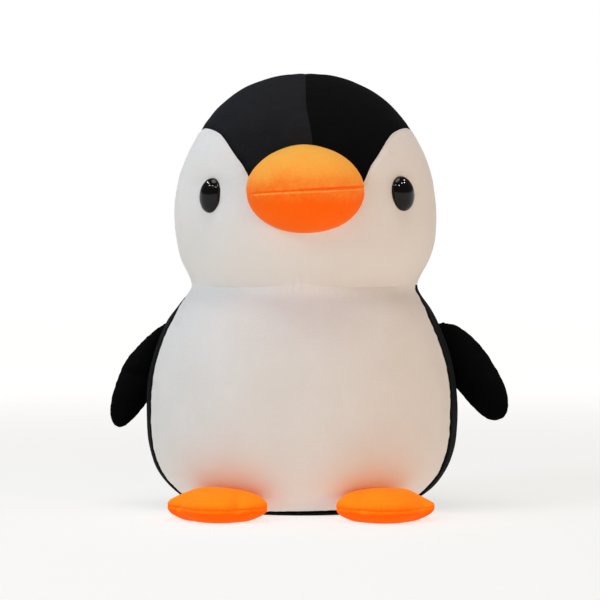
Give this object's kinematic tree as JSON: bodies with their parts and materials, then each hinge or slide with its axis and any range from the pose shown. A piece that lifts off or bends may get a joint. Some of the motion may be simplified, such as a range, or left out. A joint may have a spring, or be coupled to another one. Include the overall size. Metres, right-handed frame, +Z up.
{
  "type": "plush penguin",
  "caption": "Stuffed penguin sitting on a flat base, with a turning head, hinged flippers and feet, a padded beak and domed eyes.",
  "frame": {"origin": "centre of the flat underside of the base", "axes": "+Z up through the top of the head, -Y the way the face looks, +X towards the toy's own left hand"},
  "size_m": [0.3725, 0.2883, 0.4],
  "materials": {
    "black_plush": "short velvety pile, matt with a soft edge sheen",
    "white_plush": "short velvety pile, matt",
    "orange_plush": "short velvety pile, matt",
    "fibre_fill": "loose polyester fibre",
    "eye_plastic": "polished dome",
    "washer_plastic": "plain moulded",
    "label_ribbon": "blank satin ribbon"
  },
  "bodies": {
    "torso": {"torso_stuffing": "fibre_fill", "belly_panel": "white_plush", "back_panel_left": "black_plush", "back_panel_right": "black_plush", "base_panel": "black_plush", "care_label": "label_ribbon"},
    "head": {"head_stuffing": "fibre_fill", "cap_left": "black_plush", "cap_right": "black_plush", "face_left": "white_plush", "face_right": "white_plush", "beak_upper": "orange_plush", "beak_lower": "orange_plush", "beak_stuffing": "fibre_fill", "eye_left": "eye_plastic", "eye_right": "eye_plastic", "eye_washer_left": "washer_plastic", "eye_washer_right": "washer_plastic"},
    "flipper_left": {"flipper_left_front": "black_plush", "flipper_left_back": "black_plush", "flipper_left_stuffing": "fibre_fill"},
    "flipper_right": {"flipper_right_front": "black_plush", "flipper_right_back": "black_plush", "flipper_right_stuffing": "fibre_fill"},
    "foot_left": {"foot_left_top": "orange_plush", "foot_left_sole": "orange_plush", "foot_left_stuffing": "fibre_fill"},
    "foot_right": {"foot_right_top": "orange_plush", "foot_right_sole": "orange_plush", "foot_right_stuffing": "fibre_fill"}
  },
  "joints": [
    {"name": "head_turn", "type": "hinge", "parent": "torso", "child": "head", "pos_m": [0, 0, 0.205], "axis": [0, 0, 1], "range_deg": [-20, 20]},
    {"name": "flipper_left_swing", "type": "hinge", "parent": "torso", "child": "flipper_left", "pos_m": [-0.1299, 0.008, 0.171], "axis": [0.23, 0, 0.9732], "range_deg": [-60, 60]},
    {"name": "flipper_right_swing", "type": "hinge", "parent": "torso", "child": "flipper_right", "pos_m": [0.1299, 0.008, 0.171], "axis": [0.23, 0, -0.9732], "range_deg": [-60, 60]},
    {"name": "foot_left_lift", "type": "hinge", "parent": "torso", "child": "foot_left", "pos_m": [-0.065, -0.0885, 0.014], "axis": [-0.9397, 0.342, 0], "range_deg": [-25, 20]},
    {"name": "foot_right_lift", "type": "hinge", "parent": "torso", "child": "foot_right", "pos_m": [0.065, -0.0885, 0.014], "axis": [-0.9397, -0.342, 0], "range_deg": [-25, 20]}
  ]
}
